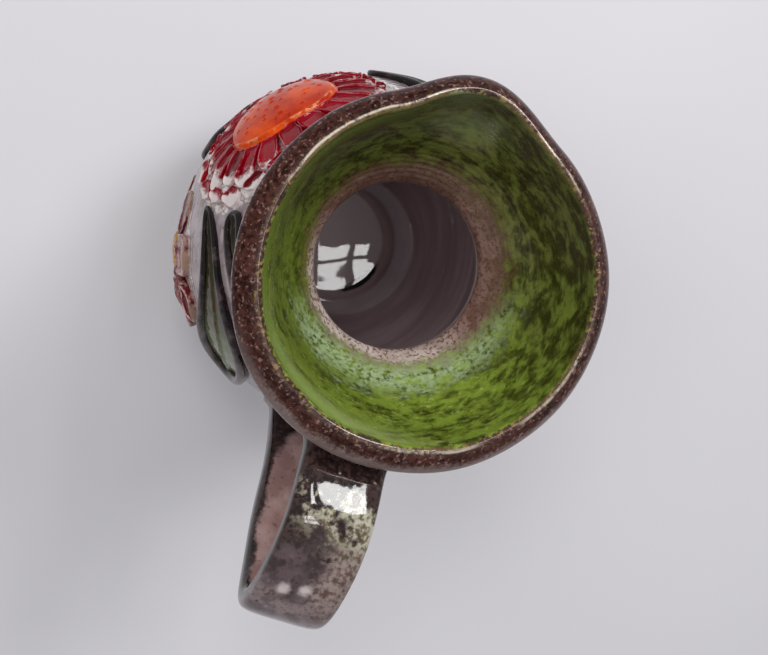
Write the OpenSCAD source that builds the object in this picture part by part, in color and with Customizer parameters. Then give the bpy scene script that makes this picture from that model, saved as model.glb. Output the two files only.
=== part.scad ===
// Pouring jug in glazed stoneware: a thrown body, a cup-shaped mouth with a pulled spout,
// a strap handle, and flowers and leaves of applied clay luted on to the shoulder.
// Millimetres, +Z up. The origin is the centre of the foot's resting face.
// +X is the side of the spout, -X the side of the handle and +Y the side of the main flower.

/* [Body] */
// Full height of the jug, to the crest of the rim
jug_height = 205; // [195:1:220]
// Outer radius of the foot ring
foot_radius = 45; // [38:1:52]
// Width of the foot ring's resting face
foot_ring_width = 7; // [5:0.5:10]
// Depth of the hollow inside the foot ring
foot_hollow = 2.5; // [1.5:0.5:4]
// Radius of the belly where it is widest
belly_radius = 72.5; // [68:0.5:82]
// Height of the widest place
belly_height = 62; // [54:1:70]
// Radius where the shoulder turns from rounded to hollow
shoulder_radius = 50; // [46:1:54]
// Height from that turn up to the joint with the mouth
shoulder_drop = 17; // [14:1:22]
// Lean of the wall at that turn, in degrees from upright
shoulder_lean = 32; // [26:1:38]
// Thickness of the thrown wall
wall = 6; // [5:0.5:7]
// Height of the inner floor
floor_height = 8; // [7:0.5:11]
// Radius of the flat part of the inner floor
floor_radius = 25; // [15:1:30]
// Spacing of the throwing rings on the inside
ring_spacing = 9; // [7:0.5:14]
// Depth of the throwing rings
ring_depth = 0.8; // [0.3:0.1:1.2]

/* [Mouth] */
// Height of the mouth above its joint with the body
mouth_height = 52; // [46:1:60]
// Inner radius of the throat
throat_radius = 28.8; // [26:0.2:32]
// Outer radius of the lip
lip_radius = 58; // [54:0.5:62]
// Width of the sloping lip, from its outer edge in to its crest
lip_width = 6.4; // [5:0.1:8]
// Width of the rounding from the crest in to the cup
lip_roll = 1.6; // [1:0.1:2.4]
// Rise of the crest over the lip's widest place
lip_crest = 6.5; // [5:0.5:9]
// How much further out the lip's outer edge lies over the handle, and further in at the spout
lip_drift = 2; // [0:0.1:3]
// How far the lip is drawn out at the spout
spout_reach = 5.6; // [3:0.1:10]
// How far the lip dips at the spout
spout_dip = 2; // [0:0.5:4]
// Half the angle that the spout takes up
spout_half_angle = 29; // [22:1:40]
// Angle by which the spout is turned from the line of the handle
spout_swing = 4.5; // [0:0.5:10]

/* [Handle] */
// Width of the strap
handle_width = 28; // [22:1:34]
// Thickness of the strap
handle_thickness = 8.5; // [7:0.5:11]
// Distance of the strap's outermost face from the jug's axis
handle_reach = 121; // [110:1:132]
// Height from the strap's highest face up to the crest of the rim
handle_top_drop = 4.5; // [2:0.5:10]
// Height from the start of the strap under the lip up to the crest of the rim
handle_spring_drop = 21; // [18:1:26]
// Height from the strap's outermost place up to the crest of the rim
handle_turn_drop = 29; // [24:1:36]
// Height of the strap's lower end
handle_foot_height = 84; // [76:1:92]

/* [Flowers] */
// Half width of the main flower, petals included
flower_radius = 42; // [36:1:44]
// Half width of the main flower's centre
flower_centre_radius = 21.5; // [16:0.5:23]
// Height of the main flower's domed centre
flower_centre_rise = 4.4; // [3:0.2:6]
// Half width of the lower flower, petals included
small_flower_radius = 33; // [27:1:35]
// Half width of the lower flower's centre
small_centre_radius = 9; // [7:0.5:11]
// Height of the lower flower's domed centre
small_centre_rise = 3.5; // [2.5:0.1:5]
// Height of the raised edge of the main flower's petals
petal_rise = 1.7; // [1.2:0.1:2.6]
// Height of the raised edge of the lower flower's petals
small_petal_rise = 2.5; // [1.5:0.1:3.5]

/* [Leaves] */
// Radius of the coil of clay that rims each leaf
leaf_coil_radius = 1.9; // [1.5:0.1:2.3]
// Thickness of a leaf's blade
leaf_blade_rise = 1.1; // [0.8:0.1:1.6]
// Height of the ridge along the middle of a blade
leaf_midrib_rise = 2; // [1.6:0.1:2.6]

/* [Hidden] */
// Thickness of the slip that each joint is luted with
slip = 0.25;
// Heights that follow from the driving sizes
neck_height = jug_height - mouth_height;
shoulder_height = neck_height - shoulder_drop;
neck_radius = throat_radius + wall;
lip_height = jug_height - lip_crest;

// Reaches of the body's curves, as shares of the spans that they cross
foot_flare_share = 0.42;
foot_rise_share = 0.12;
belly_under_share = 0.48;
belly_over_share = 0.4;
shoulder_share = 0.35;
neck_share = 0.55;
floor_flare_share = 0.65;
// Reaches of the mouth's curves, and of the lip's slope and rounding, as shares
mouth_rise_share = 0.11;
mouth_turn_share = 0.285;
mouth_flare_share = 0.84;
lip_slope_shares = [0.4, 0.3];
lip_roll_shares = [0.6, 0.4];
lip_inner_drop_share = 0.31;
// Height over the joint where the spout begins, as a share of the mouth's height
spout_root_share = 0.35;

// Course of the strap: where its top lies between spring and turn, and the reaches of its three curves
strap_top_share = 0.53;
strap_leave_shares = [0.25, 0.08];
strap_top_shares = [0.5, 0.47];
strap_turn_shares = [0.68, 0.18];
strap_fall_share = 0.6;
strap_tuck_share = 0.8;
// How deep the strap's midline ends in the belly, as a share of its half thickness
strap_foot_share = 0.12;
// Width of the strap at its ends and its middle, and thickness of its lower end, as shares
strap_width_shares = [0.97, 1];
strap_thin_share = 0.55;
strap_thin_from_share = 0.85;
// Squareness of the strap's rounded section
strap_section_power = 0.45;

// Steps along the curves and round the jug
curve_steps = 20;
lip_steps = 6;
roll_steps = 3;
mouth_steps = 64;
handle_steps = 20;
handle_sides = 18;
seat_rounds = 20;

// Places on the shoulder: angles from the spout towards +Y, heights as shares of the neck's height
flower_angle = 54;
flower_height_share = 0.693;
// The main flower is a little wider than it is high
flower_squash_share = 0.82;
small_flower_angle = 113;
small_flower_height_share = 0.379;
petal_count = 18;
small_petal_count = 8;
leaf_count = 5;
leaf_tip_angles = [96.5, 91, 20, 6, 50];
leaf_end_angles = [157.5, 140, -14, -26, 80];
leaf_tip_height_shares = [0.705, 0.82, 0.51, 0.43, 0.33];
leaf_end_height_shares = [0.48, 0.9, 0.7, 0.575, 0.27];
// Widths of the leaves, rims included, and how far each midline bows upwards
leaf_widths = [30, 15, 20, 18, 14];
leaf_bows = [23, 1, 3, 3, -2];
// Largest rounding of a leaf's pointed tip
leaf_tip_radius = 2.6;

// Shape of a petal: places along it, the width of its base against the pitch and its swelling
petal_shares = [0, 0.25, 0.5, 0.72, 0.88, 0.97];
petal_swell_share = 0.95;
petal_taper_share = 0.88;
petal_start_share = 0.06;
petal_gap = 0.5;
// How much higher the lower flower's petals stand on the side away from the main flower, as a share
small_petal_lean_share = 0.55;
// Inset of a petal's raised edge and of its hollow, as shares of its outline
petal_edge_share = 0.92;
petal_hollow_share = 0.55;
petal_hollow_rise_share = 0.6;
// Where the inner petals end and the outer ones begin, as shares of the flower's radius
inner_tip_share = 0.9;
outer_base_share = 0.87;
// A domed centre: radius shares of its rings, and rises as shares of its full height
dome_under_shares = [0.3, 0.65, 1];
dome_over_shares = [1, 0.94, 0.72, 0.38];
dome_rise_shares = [0.35, 0.66, 0.9, 1];
dome_steps = 32;
// A leaf: places across half its blade with their heights, and steps along it
blade_shares = [1, 0.5, 0.14, 0, -0.14, -0.5, -1];
blade_rise_shares = [1, 0.75, 0.85, 0, 0.85, 0.75, 1];
blade_under_shares = [-1, -0.5, 0, 0.5, 1];
blade_steps = 11;
blade_turn_angles = [27, 164];
coil_steps = 34;
coil_sides = 8;
coil_seat_share = 0.6;
// How much a coil thickens from the leaf's tip to its round end, as a share
coil_growth_share = 0.8;
leaf_fullness = 3.2;
// Step over which slopes are measured
slope_step = 0.5;

function mix(a, b, share) = a + (b - a) * share;
function bezier(p, t) =
    pow(1 - t, 3) * p[0] + 3 * t * pow(1 - t, 2) * p[1] + 3 * t * t * (1 - t) * p[2] + pow(t, 3) * p[3];
function curve(p, steps, first = 0) = [for (i = [first:steps]) bezier(p, i / steps)];
function ease(t) = t <= 0 ? 0 : t >= 1 ? 1 : t * t * (3 - 2 * t);
function bump(angle, half) = abs(angle) < half ? (1 + cos(180 * angle / half)) / 2 : 0;
function swapped(points) = [for (p = points) [p[1], p[0]]];
function reversed(list) = [for (i = [len(list) - 1:-1:0]) list[i]];
function centre(ring, i = 0) = i == len(ring) ? [0, 0, 0] : ring[i] / len(ring) + centre(ring, i + 1);

// Outer profile of the body as radius and height: foot to belly, belly to shoulder, shoulder to neck
belly_span = shoulder_height - belly_height;
lean = [sin(shoulder_lean), -cos(shoulder_lean)];
shoulder_point = [shoulder_radius, shoulder_height];
foot_curve = [
    [foot_radius, 0],
    [mix(foot_radius, belly_radius, foot_flare_share), foot_rise_share * belly_height],
    [belly_radius, belly_under_share * belly_height],
    [belly_radius, belly_height]
];
belly_curve = [
    [belly_radius, belly_height],
    [belly_radius, belly_height + belly_over_share * belly_span],
    shoulder_point + lean * shoulder_share * belly_span,
    shoulder_point
];
neck_curve = [
    shoulder_point,
    shoulder_point - lean * neck_share * shoulder_drop,
    [neck_radius, neck_height - neck_share * shoulder_drop],
    [neck_radius, neck_height]
];
body_upper = concat(curve(belly_curve, curve_steps), curve(neck_curve, curve_steps, 1));
body_outer = concat(curve(foot_curve, curve_steps), [for (i = [1:len(body_upper) - 1]) body_upper[i]]);

// Radius of the body at a height, and the two components of the normal of its wall there
body_table = swapped(body_outer);
function body_radius(z) = lookup(z, body_table);
function body_slope(z) = (body_radius(z + slope_step) - body_radius(z - slope_step)) / (2 * slope_step);
function wall_normal(z) = [1, -body_slope(z)] / norm([1, body_slope(z)]);

// Inner profile: a bowl from the floor to the belly, then the outer curve set in by the wall
inner_belly_radius = belly_radius - wall;
bowl_curve = [
    [floor_radius, floor_height],
    [mix(floor_radius, inner_belly_radius, floor_flare_share), floor_height],
    [inner_belly_radius, belly_under_share * belly_height],
    [inner_belly_radius, belly_height]
];
inner_upper = [
    for (i = [1:len(body_upper) - 1])
        body_upper[i] - wall * (i == len(body_upper) - 1 ? [1, 0] : wall_normal(body_upper[i][1]))
];
// Throwing rings deepen the wall in waves and die away at the floor and the throat
function ring_wave(z) =
    ring_depth * (1 - cos(360 * z / ring_spacing)) / 2
    * ease((z - floor_height) / ring_spacing) * ease((neck_height - z) / (2 * ring_spacing));
body_inner = [for (p = concat(curve(bowl_curve, curve_steps), inner_upper)) [p[0] - ring_wave(p[1]), p[1]]];

// Profile of the mouth: outside, over the lip and down the inside
mouth_span = lip_height - neck_height;
lip_crest_radius = lip_radius - lip_width;
lip_inner_radius = lip_crest_radius - lip_roll;
lip_inner_height = jug_height - lip_inner_drop_share * lip_crest;
mouth_outside = [
    [neck_radius, neck_height + slip],
    [neck_radius, neck_height + mouth_rise_share * mouth_span],
    [mix(neck_radius, lip_radius, mouth_flare_share), neck_height + mouth_turn_share * mouth_span],
    [lip_radius, lip_height]
];
lip_slope = [
    [lip_radius, lip_height],
    [lip_radius, lip_height + lip_slope_shares[0] * lip_crest],
    [lip_crest_radius + lip_slope_shares[1] * lip_width, jug_height],
    [lip_crest_radius, jug_height]
];
lip_rounding = [
    [lip_crest_radius, jug_height],
    [lip_crest_radius - lip_roll_shares[0] * lip_roll, jug_height],
    [lip_inner_radius, mix(jug_height, lip_inner_height, lip_roll_shares[1])],
    [lip_inner_radius, lip_inner_height]
];
mouth_inside = [
    [lip_inner_radius, lip_inner_height],
    [mix(throat_radius, lip_inner_radius, mouth_flare_share), neck_height + mouth_turn_share * mouth_span],
    [throat_radius, neck_height + mouth_rise_share * mouth_span],
    [throat_radius, neck_height + slip]
];
// Points of the profile as radius, height and the share of the lip's drift that each takes
mouth_profile = [
    for (p = curve(mouth_outside, curve_steps / 2)) [p[0], p[1], 1],
    for (p = curve(lip_slope, lip_steps, 1)) [p[0], p[1], (p[0] - lip_crest_radius) / lip_width],
    for (p = curve(lip_rounding, roll_steps, 1)) [p[0], p[1], 0],
    for (p = curve(mouth_inside, curve_steps / 2, 1)) [p[0], p[1], 0]
];
// How the pulled spout and the drift of the lip move a point of that profile
spout_root = neck_height + spout_root_share * mouth_height;
function turned(angle) = angle > 180 ? angle - 360 : angle;
function spout_pull(angle) = bump(turned(angle - spout_swing), spout_half_angle);
function mouth_point(p, angle) =
    let (rise = ease((p[1] - spout_root) / (lip_height - spout_root)))
    let (r = p[0] + rise * (spout_reach * spout_pull(angle) - p[2] * lip_drift * cos(angle)))
    [r * cos(angle), r * sin(angle), p[1] - rise * spout_dip * spout_pull(angle)];
mouth_table = swapped(curve(mouth_outside, curve_steps / 2));
function mouth_back_radius(z) =
    lookup(z, mouth_table) + lip_drift * ease((z - spout_root) / (lip_height - spout_root));

// Surface of the shoulder as a chart: p runs along the jug's round and q up its wall, both from a
// centre given by angle and height, and rise is the height over the wall
function arc_sums(points, i = 0, sum = 0) =
    i == len(points) - 1 ? [[sum, points[i][1]]]
    : concat([[sum, points[i][1]]], arc_sums(points, i + 1, sum + norm(points[i + 1] - points[i])));
arc_table = arc_sums(body_outer);
height_table = swapped(arc_table);
function on_wall(angle, z, p, q, rise) =
    let (height = lookup(lookup(z, height_table) + q, arc_table))
    let (r = body_radius(height))
    let (n = wall_normal(height))
    let (a = angle + p / r * 180 / PI)
    [(r + rise * n[0]) * cos(a), (r + rise * n[0]) * sin(a), height + rise * n[1]];

// Closed skins over rows of points: a sleeve with a cap at each end, and a ring that meets itself
function skin_faces(rows, sides, last) = [
    for (i = [0:last])
        for (j = [0:sides - 1])
            let (k = (j + 1) % sides)
            let (here = i * sides)
            let (next = (i + 1) % rows * sides)
            each [[here + j, here + k, next + j], [here + k, next + k, next + j]]
];
module sleeve(rings, first, last) {
    sides = len(rings[0]);
    rows = len(rings);
    points = concat([for (ring = rings) each ring], [first, last]);
    caps = [
        for (j = [0:sides - 1])
            let (k = (j + 1) % sides)
            each [[k, j, rows * sides], [(rows - 1) * sides + j, (rows - 1) * sides + k, rows * sides + 1]]
    ];
    polyhedron(points, concat(skin_faces(rows, sides, rows - 2), caps), convexity = 6);
}
module closed_ring(rings) {
    rows = len(rings);
    polyhedron([for (ring = rings) each ring], skin_faces(rows, len(rings[0]), rows - 1), convexity = 6);
}

module body() {
    color("rosybrown")
        rotate_extrude($fn = 96)
            polygon(concat(
                [[0, foot_hollow], [foot_radius - foot_ring_width - foot_hollow, foot_hollow]],
                [[foot_radius - foot_ring_width, 0]],
                body_outer,
                reversed(body_inner),
                [[0, floor_height]]
            ));
}

module mouth() {
    color("olivedrab")
        closed_ring([
            for (i = [0:mouth_steps - 1])
                [for (p = mouth_profile) mouth_point(p, 360 * i / mouth_steps)]
        ]);
}

// Midline of the strap, as distance from the axis and height: under the lip, over the top, round and down
handle_half = handle_thickness / 2;
spring_height = jug_height - handle_spring_drop;
spring = [mouth_back_radius(spring_height), spring_height];
turn = [handle_reach - handle_half, jug_height - handle_turn_drop];
strap_top = [mix(spring[0], turn[0], strap_top_share), jug_height - handle_top_drop - handle_half];
strap_foot = [body_radius(handle_foot_height) - strap_foot_share * handle_half, handle_foot_height];
strap_rise = strap_top[1] - spring[1];
strap_round = strap_top[1] - turn[1];
strap_fall = turn[1] - strap_foot[1];
rise_curve = [
    spring,
    [mix(spring[0], strap_top[0], strap_leave_shares[0]), spring[1] + strap_leave_shares[1] * strap_rise],
    [mix(spring[0], strap_top[0], strap_top_shares[0]), strap_top[1]],
    strap_top
];
round_curve = [
    strap_top,
    [mix(strap_top[0], turn[0], strap_top_shares[1]), strap_top[1]],
    [turn[0], turn[1] + strap_turn_shares[0] * strap_round],
    turn
];
fall_curve = [
    turn,
    [turn[0], turn[1] - strap_turn_shares[1] * strap_fall],
    [strap_foot[0] - strap_tuck_share * handle_thickness, turn[1] - strap_fall_share * strap_fall],
    strap_foot
];
strap_path = concat(
    curve(rise_curve, handle_steps / 2),
    curve(round_curve, handle_steps / 2, 1),
    curve(fall_curve, handle_steps, 1)
);
// The strap's upper end is carried along its own line to the wall, and where its lower end would lie
// in the wall it is moved out to the wall's face, so both ends follow their seats
function wall_radius(z) = z > neck_height ? mouth_back_radius(z) : body_radius(z);
function in_wall(p) = norm([p[0], p[1]]) < wall_radius(p[2]) + slip;
function carried(p, ahead, near, far, rounds) =
    let (middle = (near + far) / 2)
    rounds == 0 ? p + middle * ahead
    : in_wall(p + middle * ahead) ? carried(p, ahead, middle, far, rounds - 1)
    : carried(p, ahead, near, middle, rounds - 1);
function moved_out(p) =
    let (grown = (wall_radius(p[2]) + slip) / norm([p[0], p[1]]))
    in_wall(p) ? [p[0] * grown, p[1] * grown, p[2]] : p;
function rounded(x) = sign(x) * pow(abs(x), strap_section_power);
strap_last = len(strap_path) - 1;
function strap_along(i) =
    let (along = strap_path[min(i + 1, strap_last)] - strap_path[max(i - 1, 0)])
    along / norm(along);
function strap_seated(i, p) =
    let (ahead = [-strap_along(0)[0], 0, strap_along(0)[1]])
    i == 0 ? carried(p, ahead, -2 * handle_thickness, 2 * handle_thickness, seat_rounds) : moved_out(p);
function strap_ring(i) =
    let (along = strap_along(i))
    let (share = i / strap_last)
    let (width = handle_width * mix(strap_width_shares[0], strap_width_shares[1], sin(180 * share)))
    let (thin = mix(1, strap_thin_share, ease((share - strap_thin_from_share) / (1 - strap_thin_from_share))))
    [
        for (j = [0:handle_sides - 1])
            let (around = 360 * j / handle_sides)
            let (p = strap_path[i] + [-along[1], along[0]] * handle_half * thin * rounded(sin(around)))
            strap_seated(i, [-p[0], width / 2 * rounded(cos(around)), p[1]])
    ];

module handle() {
    rings = [for (i = [0:strap_last]) strap_ring(i)];
    color("sienna") sleeve(rings, strap_seated(0, centre(rings[0])), centre(rings[strap_last]));
}

// A flower: a point given by its distance from the flower's middle along a petal and its distance aside
flower_height = flower_height_share * neck_height;
small_flower_height = small_flower_height_share * neck_height;
function on_main(direction, along, aside, rise) = on_wall(
    flower_angle, flower_height,
    along * cos(direction) - aside * sin(direction),
    flower_squash_share * (along * sin(direction) + aside * cos(direction)),
    rise
);
function on_small(direction, along, aside, rise) = on_wall(
    small_flower_angle, small_flower_height,
    along * cos(direction) - aside * sin(direction),
    along * sin(direction) + aside * cos(direction),
    rise
);
function on_flower(main, direction, along, aside, rise) =
    main ? on_main(direction, along, aside, rise) : on_small(direction, along, aside, rise);

module flower_dome(main, radius, height) {
    under = [for (share = dome_under_shares) [share * radius, slip]];
    over = [
        for (i = [0:len(dome_over_shares) - 1])
            [dome_over_shares[i] * radius, slip + dome_rise_shares[i] * height]
    ];
    rings = [
        for (ring = concat(under, over))
            [for (i = [0:dome_steps - 1]) on_flower(main, 360 * i / dome_steps, ring[0], 0, ring[1])]
    ];
    sleeve(rings, on_flower(main, 0, 0, 0, slip), on_flower(main, 0, 0, 0, slip + height));
}

// Half width of a petal along its length: one that fills its pitch and one that tapers at both ends
function full_petal(base, tip, count, v) =
    (PI * mix(base, tip, petal_swell_share * v) / count - petal_gap / 2) * sqrt(1 - pow(v, 4));
function tapered_petal(base, tip, count, v) =
    petal_taper_share * PI * base / count * pow(sin(180 * mix(petal_start_share, 1, v)), petal_swell_share);
module petal(main, direction, base, tip, count, tapered) {
    side = [
        for (v = petal_shares)
            let (half = tapered ? tapered_petal(base, tip, count, v) : full_petal(base, tip, count, v))
            [mix(base, tip, v), half]
    ];
    outline = concat(side, [for (p = reversed(side)) [p[0], -p[1]]]);
    middle = [(base + tip) / 2, 0];
    edge_rise = main ? petal_rise : small_petal_rise * (1 + small_petal_lean_share * cos(direction));
    levels = [
        [1, slip],
        [1, slip + edge_rise / 2],
        [petal_edge_share, slip + edge_rise],
        [petal_hollow_share, slip + petal_hollow_rise_share * edge_rise]
    ];
    rings = [
        for (level = levels)
            [
                for (p = outline)
                    let (q = mix(middle, p, level[0]))
                    on_flower(main, direction, q[0], q[1], level[1])
            ]
    ];
    sleeve(
        rings,
        on_flower(main, direction, middle[0], 0, slip),
        on_flower(main, direction, middle[0], 0, slip + petal_hollow_rise_share * edge_rise)
    );
}

module flower_centre() {
    color("darkorange") flower_dome(true, flower_centre_radius, flower_centre_rise);
}

module lower_flower_centre() {
    color("goldenrod") flower_dome(false, small_centre_radius, small_centre_rise);
}

module inner_petal(i) {
    color("crimson")
        petal(
            true, 360 * i / petal_count, flower_centre_radius + petal_gap,
            inner_tip_share * flower_radius, petal_count, false
        );
}

module outer_petal(i) {
    color("firebrick")
        petal(
            true, 360 * (i + 0.5) / petal_count, outer_base_share * flower_radius,
            flower_radius, petal_count, true
        );
}

module lower_petal(i) {
    color("mistyrose")
        petal(
            false, 360 * i / small_petal_count, small_centre_radius + petal_gap,
            small_flower_radius, small_petal_count, false
        );
}

// A leaf: its midline from tip to round end on the shoulder, and places along and aside of it
function leaf_middle(i) = [
    (leaf_tip_angles[i] + leaf_end_angles[i]) / 2,
    neck_height * (leaf_tip_height_shares[i] + leaf_end_height_shares[i]) / 2
];
function leaf_run(i) = [
    (leaf_end_angles[i] - leaf_tip_angles[i]) * PI / 180 * body_radius(leaf_middle(i)[1]),
    lookup(neck_height * leaf_end_height_shares[i], height_table)
    - lookup(neck_height * leaf_tip_height_shares[i], height_table)
];
function on_leaf(i, s, aside, rise) =
    let (run = leaf_run(i))
    let (length = norm(run))
    let (ahead = run / length)
    let (bow = 4 * leaf_bows[i] * (s / length) * (1 - s / length))
    let (from_middle = s - length / 2)
    on_wall(
        leaf_middle(i)[0], leaf_middle(i)[1],
        from_middle * ahead[0] - aside * ahead[1],
        from_middle * ahead[1] + aside * ahead[0] + bow,
        rise
    );
// Midline of the rim coil as a closed outline: a pointed tip with a little rounding and a round end
function leaf_edge(i, turn_angle) =
    let (inner = norm(leaf_run(i)) - 2 * leaf_coil_radius)
    let (v = (1 - cos(turn_angle)) / 2)
    let (u = pow(v, leaf_fullness))
    let (half = leaf_widths[i] / 2 - leaf_coil_radius)
    let (tip = 2 * leaf_tip_radius * inner * v * pow(1 - v, 6))
    [leaf_coil_radius + v * inner, sign(sin(turn_angle)) * sqrt(4 * half * half * u * (1 - u) + tip)];
function leaf_edge_normal(i, turn_angle) =
    let (along = leaf_edge(i, turn_angle + 1) - leaf_edge(i, turn_angle - 1))
    [-along[1], along[0]] / norm(along);

// Radius of the coil where it passes a place along the outline: thin at the tip, thick at the round end
function coil_radius(turn_angle) = leaf_coil_radius * (1 - coil_growth_share * cos(turn_angle) / 2);

module leaf_rim(i) {
    color("dimgray")
        closed_ring([
            for (k = [0:coil_steps - 1])
                let (at = 360 * (k + 0.5) / coil_steps)
                let (out = leaf_edge_normal(i, at))
                [
                    for (j = [0:coil_sides - 1])
                        let (around = 360 * (j + 0.5) / coil_sides)
                        let (p = leaf_edge(i, at) + coil_radius(at) * cos(around) * out)
                        on_leaf(i, p[0], p[1], max(slip, coil_radius(at) * (coil_seat_share + sin(around))))
                ]
        ]);
}

module leaf_blade(i) {
    rings = [
        for (k = [0:blade_steps])
            let (at = mix(blade_turn_angles[0], blade_turn_angles[1], k / blade_steps))
            let (edge = leaf_edge(i, at) - (coil_radius(at) + slip) * leaf_edge_normal(i, at))
            concat(
                [for (share = blade_under_shares) on_leaf(i, edge[0], share * edge[1], slip)],
                [
                    for (j = [0:len(blade_shares) - 1])
                        let (plain = blade_rise_shares[j] * leaf_blade_rise)
                        let (rise = blade_shares[j] == 0 ? leaf_midrib_rise : plain)
                        on_leaf(i, edge[0], blade_shares[j] * edge[1], slip + rise)
                ]
            )
    ];
    color("darkseagreen") sleeve(rings, centre(rings[0]), centre(rings[blade_steps]));
}

function numbered(name, count) = [for (i = [1:count]) str(name, "_", i)];
inner_petals = numbered("inner_petal", petal_count);
outer_petals = numbered("outer_petal", petal_count);
lower_petals = numbered("lower_petal", small_petal_count);
leaf_blades = numbered("leaf_blade", leaf_count);
leaf_rims = numbered("leaf_rim", leaf_count);

body();
mouth();
handle();
flower_centre();
lower_flower_centre();
for (i = [0:petal_count - 1]) {
    inner_petal(i);
    outer_petal(i);
}
for (i = [0:small_petal_count - 1]) {
    lower_petal(i);
}
for (i = [0:leaf_count - 1]) {
    leaf_blade(i);
    leaf_rim(i);
}
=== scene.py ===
"""Pouring jug in glazed stoneware: each piece of clay as a surface worked out with numpy, in its own glaze.

Shapes are written in millimetres in the jug's own frame, +Z up from the foot, +X towards the spout and +Y
towards the main flower, and turned into metres when they become meshes. Colours are written as a display
shows them, from 0 to 255.
"""
import math

import bpy
import numpy as np
from mathutils import Matrix, Vector


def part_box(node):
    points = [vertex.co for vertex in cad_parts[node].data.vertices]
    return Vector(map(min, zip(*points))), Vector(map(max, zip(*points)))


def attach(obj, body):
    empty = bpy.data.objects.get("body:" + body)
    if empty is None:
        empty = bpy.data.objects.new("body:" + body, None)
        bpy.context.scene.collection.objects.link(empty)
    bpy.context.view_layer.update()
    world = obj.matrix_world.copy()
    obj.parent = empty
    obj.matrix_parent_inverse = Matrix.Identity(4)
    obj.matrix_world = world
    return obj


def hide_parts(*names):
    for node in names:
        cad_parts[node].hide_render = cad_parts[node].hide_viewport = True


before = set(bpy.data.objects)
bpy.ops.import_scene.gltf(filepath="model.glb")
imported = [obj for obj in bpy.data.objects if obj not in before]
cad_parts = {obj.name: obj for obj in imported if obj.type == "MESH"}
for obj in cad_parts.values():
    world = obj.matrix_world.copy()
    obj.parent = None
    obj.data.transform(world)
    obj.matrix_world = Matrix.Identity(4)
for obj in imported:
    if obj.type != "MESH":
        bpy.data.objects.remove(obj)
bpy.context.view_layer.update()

MM = 0.001
rng = np.random.default_rng(5)

# Sizes of the thrown body and the mouth, as in the part's own source
jug_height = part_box("mouth")[1].z / MM
belly_radius = 72.5
neck_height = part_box("body")[1].z / MM
foot_radius = 45
foot_ring_width = 7
foot_hollow = 2.5
belly_height = 62
shoulder_radius = 50
shoulder_drop = 17
shoulder_lean = math.radians(32)
wall = 6
floor_height = 8
floor_radius = 25
ring_spacing = 9
ring_depth = 0.8
throat_radius = 28.8
lip_radius = 58
lip_width = 6.4
lip_roll = 1.6
lip_crest = 6.5
lip_drift = 2
spout_reach = 5.6
spout_dip = 2
spout_half_angle = math.radians(29)
spout_swing = math.radians(4.5)
# Where the corners of their curves lie, as shares of those sizes
foot_flare_share = 0.42
foot_rise_share = 0.12
belly_under_share = 0.48
belly_over_share = 0.4
shoulder_share = 0.35
neck_share = 0.55
floor_flare_share = 0.65
mouth_rise_share = 0.11
mouth_turn_share = 0.285
mouth_flare_share = 0.84
lip_slope_shares = (0.4, 0.3)
lip_roll_shares = (0.6, 0.4)
lip_inner_drop_share = 0.31
spout_root_share = 0.35

# Sizes of the strap handle
handle_width = 28
handle_thickness = 8.5
handle_reach = 121
handle_top_drop = 4.5
handle_spring_drop = 21
handle_turn_drop = 29
handle_foot_height = 84
strap_root = 4
strap_top_share = 0.53
strap_leave_shares = (0.25, 0.08)
strap_top_shares = (0.5, 0.47)
strap_turn_shares = (0.68, 0.18)
strap_fall_share = 0.6
strap_tuck_share = 0.8
strap_foot_share = 0.12
strap_width_shares = (0.97, 1)
strap_thin_share = 0.55
strap_thin_from_share = 0.85
strap_section_power = 0.45

# Sizes and places of the flowers and leaves
flower_radius = 42
flower_centre_radius = 21.5
flower_centre_rise = 4.4
flower_angle = 54
flower_height = 0.693 * neck_height
flower_squash = 0.82
small_flower_radius = 33
small_centre_radius = 9
small_centre_rise = 3.5
small_flower_angle = 113
small_flower_height = 0.379 * neck_height
petal_count = 18
small_petal_count = 8
petal_rise = 1.7
small_petal_rise = 2.5
small_petal_lean = 0.55
petal_gap = 0.5
petal_swell_share = 0.95
petal_taper_share = 0.88
petal_start_share = 0.06
inner_tip_share = 0.9
outer_base_share = 0.87
leaf_coil_radius = 1.9
leaf_coil_growth = 0.8
coil_seat_share = 0.6
leaf_blade_rise = 1.1
leaf_midrib_rise = 2
leaf_tip_radius = 2.6
leaf_fullness = 3.2
leaf_tip_angles = (96.5, 91, 20, 6, 50)
leaf_end_angles = (157.5, 140, -14, -26, 80)
leaf_tip_heights = (0.705, 0.82, 0.51, 0.43, 0.33)
leaf_end_heights = (0.48, 0.9, 0.7, 0.575, 0.27)
leaf_widths = (30, 15, 20, 18, 14)
leaf_bows = (23, 1, 3, 3, -2)
# How far the foot of each applied piece lies under the face of the wall
seat_depth = 0.7

# Marks of the hand and of the glaze, which only the scene shows
floor_dish = 1.2
# Share of a throwing ring's depth that the glaze fills
ring_fill = 0.4
outer_line_depth = 0.08
fine_ring_depth = 0.04
fine_ring_spacing = 3.1
pool_radius = 24
pool_bearing = 235
# Waves of the lip: height, number round it and start
lip_waves = ((0.2, 3, 0.8), (0.14, 5, 2.1), (0.1, 9, 0))
# Where the pale line shows on the lip, as cream glaze on the first stretch and as painted highlight on
#  the others: degrees from and to, and strength
cream_and_glint_stretches = ((12, 80, 1.0), (-42, 4, 0.8), (-130, -88, 0.6), (-178, -138, 0.7))
line_fade = 9
# The cup's noises are laid along a tube of this radius, and stretched down it
flow_radius = 40
flow_stretch = 1.3
# Pale dabs on the strap: share along it and millimetres aside
dab_places = ((0.29, 6.2), (0.283, -0.4))
dab_radius = 3.8
dab_softness = 3.2
# Directions in the main flower's chart in which its petals trail, and in which white glaze ran over them
trail_direction = 335
pale_direction = 20
# Holes pricked in the flowers' centres
hole_count = 36
small_hole_count = 14

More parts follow.
